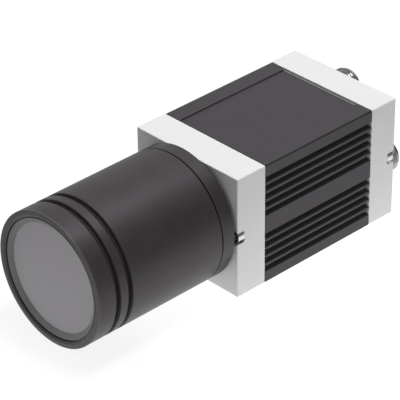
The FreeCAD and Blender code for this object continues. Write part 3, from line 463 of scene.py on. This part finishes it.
# The window. A grey, slightly diffusing disc of coated glass on a flat gasket, held from the front
# by a screwed ring with a sloping face: grey anodised, blasted, and lighter than the tube.
window_pane, nodes, links, shader = finish("coated_window_glass")
haze = grain(nodes, links, scale=400.0, detail=3.0)
pane_low_z = 0.003
pane_high_z = 0.043
_, _, _, up = coordinates(nodes, links)
# The pane's colour runs lighter towards the top: painted light, graded by height
pane_painted_light = shade(nodes, links, up, (0.53, 0.507, 0.53), (0.73, 0.70, 0.73), pane_low_z, pane_high_z)
links.new(pane_painted_light, shader.inputs["Base Color"])
links.new(spread(nodes, links, haze, 0.20, 0.27), shader.inputs["Roughness"])
shader.inputs["Transmission Weight"].default_value = 0.3
shader.inputs["IOR"].default_value = 1.49
dress(window_pane, "window_glass")

grey_ring, nodes, links, shader = finish("grey_anodised_ring")
marks = lathe_marks(nodes, links, tool_pitch)
blast = grain(nodes, links, scale=8000.0, detail=3.0)
cloud = grain(nodes, links, scale=150.0, detail=4.0)
ring_grey = shade(nodes, links, cloud, (0.262, 0.250, 0.262), (0.285, 0.272, 0.285))
links.new(ring_grey, shader.inputs["Base Color"])
links.new(spread(nodes, links, blast, 0.5, 0.62), shader.inputs["Roughness"])
relief(nodes, links, shader, marks, depth=0.0000015, strength=0.35)
relief(nodes, links, shader, blast, depth=0.000004, strength=0.25)
dress(grey_ring, "window_retaining_ring")


# The lens mount. A hardened steel ring with the one-inch thread, screwed into the front cover,
# and behind it a pale blue-green disc that keeps infrared light from the sensor.
dress(bright_steel, "mount_ring")

filter_glass = plain_finish(
    "infrared_filter_glass",
    scale=900.0,
    detail=3.0,
    colours=((0.55, 0.86, 0.84), (0.62, 0.90, 0.88)),
    roughness=(0.02, 0.06),
    fixed={"Transmission Weight": 0.95, "IOR": 1.52},
)
dress(filter_glass, "infrared_filter")


# The lens. A black anodised barrel with a knurled focus ring and a knurled iris ring that turn on
# its sleeve, each held by a small thumb screw.
lens_black, nodes, links, shader = finish("lens_black_anodised")
lens_tool_pitch = 0.0001
marks = lathe_marks(nodes, links, lens_tool_pitch)
blast = grain(nodes, links, scale=9000.0, detail=3.0)
lens_grey = shade(nodes, links, blast, (0.018, 0.018, 0.019), (0.028, 0.028, 0.029))
links.new(lens_grey, shader.inputs["Base Color"])
links.new(spread(nodes, links, blast, 0.32, 0.42), shader.inputs["Roughness"])
relief(nodes, links, shader, marks, depth=0.000002, strength=0.4)
dress(lens_black, "lens_barrel", "iris_ring", "focus_ring", "optics_cell", "element_retainer")
dress(bright_steel, "iris_lock_screw", "focus_lock_screw")

optical_glass = plain_finish(
    "coated_optical_glass",
    scale=300.0,
    detail=2.0,
    colours=((0.93, 0.95, 0.97), (0.97, 0.96, 0.98)),
    roughness=(0.0, 0.015),
    fixed={"Transmission Weight": 1.0, "IOR": 1.62, "Specular Tint": (0.62, 0.48, 1.0, 1.0)},
)
dress(optical_glass, "front_element", "rear_element")

blade_steel = plain_finish(
    "blackened_spring_steel",
    scale=3000.0,
    detail=3.0,
    colours=((0.035, 0.035, 0.038), (0.06, 0.06, 0.064)),
    roughness=(0.38, 0.55),
    depth=0.000002,
    strength=0.4,
    stretch=(0.05, 1.0, 1.0),
    fixed={"Metallic": 0.6},
)
blade_count = 6
dress(blade_steel, *[f"iris_blade_{number + 1}" for number in range(blade_count)])


# The image sensor. A dark ceramic package on the first board, its well closed by a thin clear
# plate that is cemented to its rim.
ceramic = plain_finish(
    "sensor_ceramic",
    scale=5000.0,
    detail=3.0,
    colours=((0.030, 0.030, 0.036), (0.045, 0.045, 0.052)),
    roughness=(0.35, 0.55),
    depth=0.000004,
    strength=0.3,
)
dress(ceramic, "image_sensor")

cover_plate = plain_finish(
    "sensor_cover_plate",
    scale=800.0,
    detail=2.0,
    colours=((0.93, 0.95, 0.95), (0.97, 0.98, 0.98)),
    roughness=(0.0, 0.02),
    fixed={"Transmission Weight": 1.0, "IOR": 1.5},
)
dress(cover_plate, "sensor_glass")


# The three circuit boards. Glass-fibre laminate under green lacquer, with copper tracks that show
# as slightly raised lighter lines; hexagonal posts of brass and small screws hold them.
dark_lacquer = (0.008, 0.085, 0.032, 1.0)
light_lacquer = (0.010, 0.105, 0.042, 1.0)
track_green = (0.030, 0.20, 0.085, 1.0)
laminate, nodes, links, shader = finish("green_board_laminate")
place = nodes.new("ShaderNodeTexCoord")
upright = nodes.new("ShaderNodeMapping")
upright.inputs["Rotation"].default_value = (math.radians(90.0), 0.0, 0.0)
links.new(place.outputs["Object"], upright.inputs["Vector"])
tracks = nodes.new("ShaderNodeTexBrick")
tracks.inputs["Scale"].default_value = 420.0
tracks.inputs["Mortar Size"].default_value = 0.035
tracks.inputs["Mortar Smooth"].default_value = 0.1
tracks.inputs["Color1"].default_value = dark_lacquer
tracks.inputs["Color2"].default_value = light_lacquer
tracks.inputs["Mortar"].default_value = track_green
links.new(upright.outputs[0], tracks.inputs["Vector"])
links.new(tracks.outputs["Color"], shader.inputs["Base Color"])
weave = grain(nodes, links, scale=3500.0, detail=2.0)
links.new(spread(nodes, links, weave, 0.22, 0.34), shader.inputs["Roughness"])
relief(nodes, links, shader, tracks.outputs["Fac"], depth=0.00002, strength=0.5)
relief(nodes, links, shader, weave, depth=0.000004, strength=0.3)
dress(laminate, "sensor_board", "processor_board", "interface_board")

brass = plain_finish(
    "turned_brass",
    scale=4000.0,
    detail=3.0,
    colours=((0.62, 0.44, 0.17), (0.78, 0.60, 0.28)),
    roughness=(0.22, 0.38),
    depth=0.000004,
    strength=0.3,
    fixed={"Metallic": 1.0},
)
dress(brass, "standoffs")
dress(bright_steel, "board_screws")


# What stands on the boards: the processor under a grey pad and an aluminium spreader that leads
# its heat to the side walls, two memory chips, and the plug strips between the boards.
chip_black = plain_finish(
    "moulded_chip_black",
    scale=7000.0,
    detail=3.0,
    colours=((0.014, 0.014, 0.015), (0.028, 0.028, 0.029)),
    roughness=(0.45, 0.65),
    depth=0.000006,
    strength=0.4,
)
dress(chip_black, "processor_chip", "memory_chips")

pad_grey = plain_finish(
    "thermal_pad_grey",
    scale=1500.0,
    detail=4.0,
    colours=((0.20, 0.22, 0.25), (0.28, 0.30, 0.33)),
    roughness=(0.7, 0.85),
    depth=0.00002,
    strength=0.5,
)
dress(pad_grey, "thermal_pad")

milled = plain_finish(
    "milled_aluminium",
    scale=2500.0,
    detail=3.0,
    colours=((0.68, 0.69, 0.70), (0.80, 0.81, 0.82)),
    roughness=(0.28, 0.45),
    depth=0.000006,
    strength=0.4,
    stretch=(1.0, 1.0, 0.05),
    fixed={"Metallic": 1.0},
)
dress(milled, "heat_spreader")

plug_cream = plain_finish(
    "moulded_plug_plastic",
    scale=3000.0,
    detail=3.0,
    colours=((0.50, 0.46, 0.36), (0.58, 0.54, 0.43)),
    roughness=(0.4, 0.55),
    depth=0.000006,
    strength=0.3,
)
dress(plug_cream, "board_plugs")


# The two round connectors. Nickel-plated brass shells with a metric thread, turned with a collar
# that seals on the rear cover and drawn tight by a hexagonal nut inside it.
nickel, nodes, links, shader = finish("nickel_plated_brass")
turned = grain(nodes, links, scale=5000.0, detail=3.0)
bloom = grain(nodes, links, scale=900.0, detail=3.0)
links.new(shade(nodes, links, bloom, (0.33, 0.325, 0.33), (0.48, 0.475, 0.48)), shader.inputs["Base Color"])
links.new(spread(nodes, links, turned, 0.17, 0.26), shader.inputs["Roughness"])
relief(nodes, links, shader, turned, depth=0.000004, strength=0.25)
shader.inputs["Metallic"].default_value = 1.0

connector_axes = (("power", -0.00905, 0.03135), ("network", 0.00905, 0.01195))

shank_back = 0.051075
cover_back = 0.058475
collar_end = 0.060075
mouth_floor = 0.061625
shell_end = 0.070625
back_bore_r = 0.00455
mouth_r = 0.00505
relief_r = 0.0056
shank_r = 0.006
collar_r = 0.0072
collar_bevel = 0.00015
relief_slope = 0.0002
end_bevel = 0.00012
end_bevel_length = 0.000105
mouth_bevel = 0.00007
mouth_bevel_length = 0.000125

thread_r = shank_r
thread_root_r = 0.00542
thread_sink = 0.00004
thread_pitch = 0.001
root_share = 0.46
crest_share = 0.03
thread_start = 0.0610
thread_end = 0.0706
turn_steps = 48
shell_steps = 72
sharp_edge = math.radians(30.0)


def lathe(outline, x, z):
    """A closed outline of (radius, y) points, spun once round an axis along Y."""
    work = bmesh.new()
    corners = [work.verts.new((x + radius, y, z)) for radius, y in outline]
    rim = [work.edges.new((corners[k - 1], corners[k])) for k in range(len(corners))]
    bmesh.ops.spin(
        work, geom=corners + rim, cent=(x, 0.0, z), axis=(0.0, 1.0, 0.0), dvec=(0.0, 0.0, 0.0),
        angle=math.radians(360.0), steps=shell_steps, use_merge=True,
    )
    bmesh.ops.remove_doubles(work, verts=work.verts, dist=0.0000005)
    bmesh.ops.recalc_face_normals(work, faces=work.faces)
    return work


def keep(work, name, material, body):
    """Turns the work into an object that rides on a body of the frame."""
    mesh = bpy.data.meshes.new(name)
    work.to_mesh(mesh)
    work.free()
    mesh.materials.append(material)
    mesh.shade_smooth()
    mesh.set_sharp_from_angle(angle=sharp_edge)
    item = bpy.data.objects.new(name, mesh)
    bpy.context.scene.collection.objects.link(item)
    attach(item, body)
    return item


def turned_shell(x, z):
    """Shank, collar, relief, threaded neck and mouth of one connector, as one turned piece."""
    return lathe([
        (back_bore_r, shank_back),
        (shank_r, shank_back),
        (shank_r, cover_back),
        (collar_r - collar_bevel, cover_back),
        (collar_r, cover_back + collar_bevel),
        (collar_r, collar_end - collar_bevel),
        (collar_r - collar_bevel, collar_end),
        (relief_r, collar_end),
        (relief_r, thread_start),
        (thread_root_r, thread_start + relief_slope),
        (thread_root_r, shell_end - end_bevel_length),
        (thread_root_r - end_bevel, shell_end),
        (mouth_r + mouth_bevel, shell_end),
        (mouth_r, shell_end - mouth_bevel_length),
        (mouth_r, mouth_floor),
        (back_bore_r, mouth_floor),
    ], x, z)


def screw_thread(x, z):
    """The thread's ridge, one profile swept along a helix, running out at both ends."""
    work = bmesh.new()
    foot_r = thread_root_r - thread_sink
    half_root = thread_pitch * root_share
    half_crest = thread_pitch * crest_share
    profile = [
        work.verts.new((x + radius, thread_start + y, z)) for radius, y in (
            (foot_r, 0.0),
            (thread_r, half_root - half_crest),
            (thread_r, half_root + half_crest),
            (foot_r, 2 * half_root),
        )
    ]
    face = work.faces.new(profile)
    turns = (thread_end - thread_start) / thread_pitch - 1.0
    bmesh.ops.spin(
        work, geom=[face] + list(face.edges) + profile, cent=(x, 0.0, z), axis=(0.0, 1.0, 0.0),
        dvec=(0.0, thread_pitch / turn_steps, 0.0), angle=2 * math.pi * turns,
        steps=int(turns * turn_steps), use_merge=False,
    )
    for vert in work.verts:
        reach_out = math.hypot(vert.co.x - x, vert.co.z - z)
        run_out = foot_r + min(vert.co.y - thread_start, thread_end - vert.co.y)
        if reach_out > run_out:
            vert.co.x = x + (vert.co.x - x) * run_out / reach_out
            vert.co.z = z + (vert.co.z - z) * run_out / reach_out
    bmesh.ops.recalc_face_normals(work, faces=work.faces)
    return work


for side, x, z in connector_axes:
    keep(screw_thread(x, z), side + "_shell_thread", nickel, "camera")
    made = keep(turned_shell(x, z), side + "_shell_turned", nickel, "camera")
    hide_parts(side + "_connector_shell")

dress(nickel, "power_connector_nut", "network_connector_nut")
dress(soft_rubber, "power_connector_seal", "network_connector_seal")

insert_black = plain_finish(
    "moulded_insert_black",
    scale=6000.0,
    detail=3.0,
    colours=((0.016, 0.016, 0.017), (0.026, 0.026, 0.027)),
    roughness=(0.38, 0.52),
    depth=0.000005,
    strength=0.3,
)
dress(insert_black, "power_connector_insert", "network_connector_insert")

gold = plain_finish(
    "gold_plated_contact",
    scale=4000.0,
    detail=3.0,
    colours=((0.83, 0.60, 0.22), (0.95, 0.74, 0.34)),
    roughness=(0.18, 0.30),
    fixed={"Metallic": 1.0},
)
dress(gold, "power_connector_pins", "network_connector_contacts")


# The status lights. Clear moulded light pipes that carry the glow of three small chips on the last
# board to the outside of the rear cover.
clear_pipe = plain_finish(
    "clear_light_pipe",
    scale=1500.0,
    detail=2.0,
    colours=((0.86, 0.89, 0.88), (0.92, 0.94, 0.93)),
    roughness=(0.08, 0.16),
    fixed={"Transmission Weight": 0.85, "IOR": 1.49},
)
dress(clear_pipe, "light_pipes")

light_chip = plain_finish(
    "light_chip_plastic",
    scale=5000.0,
    detail=2.0,
    colours=((0.70, 0.70, 0.62), (0.80, 0.80, 0.72)),
    roughness=(0.35, 0.5),
)
dress(light_chip, "status_lights")
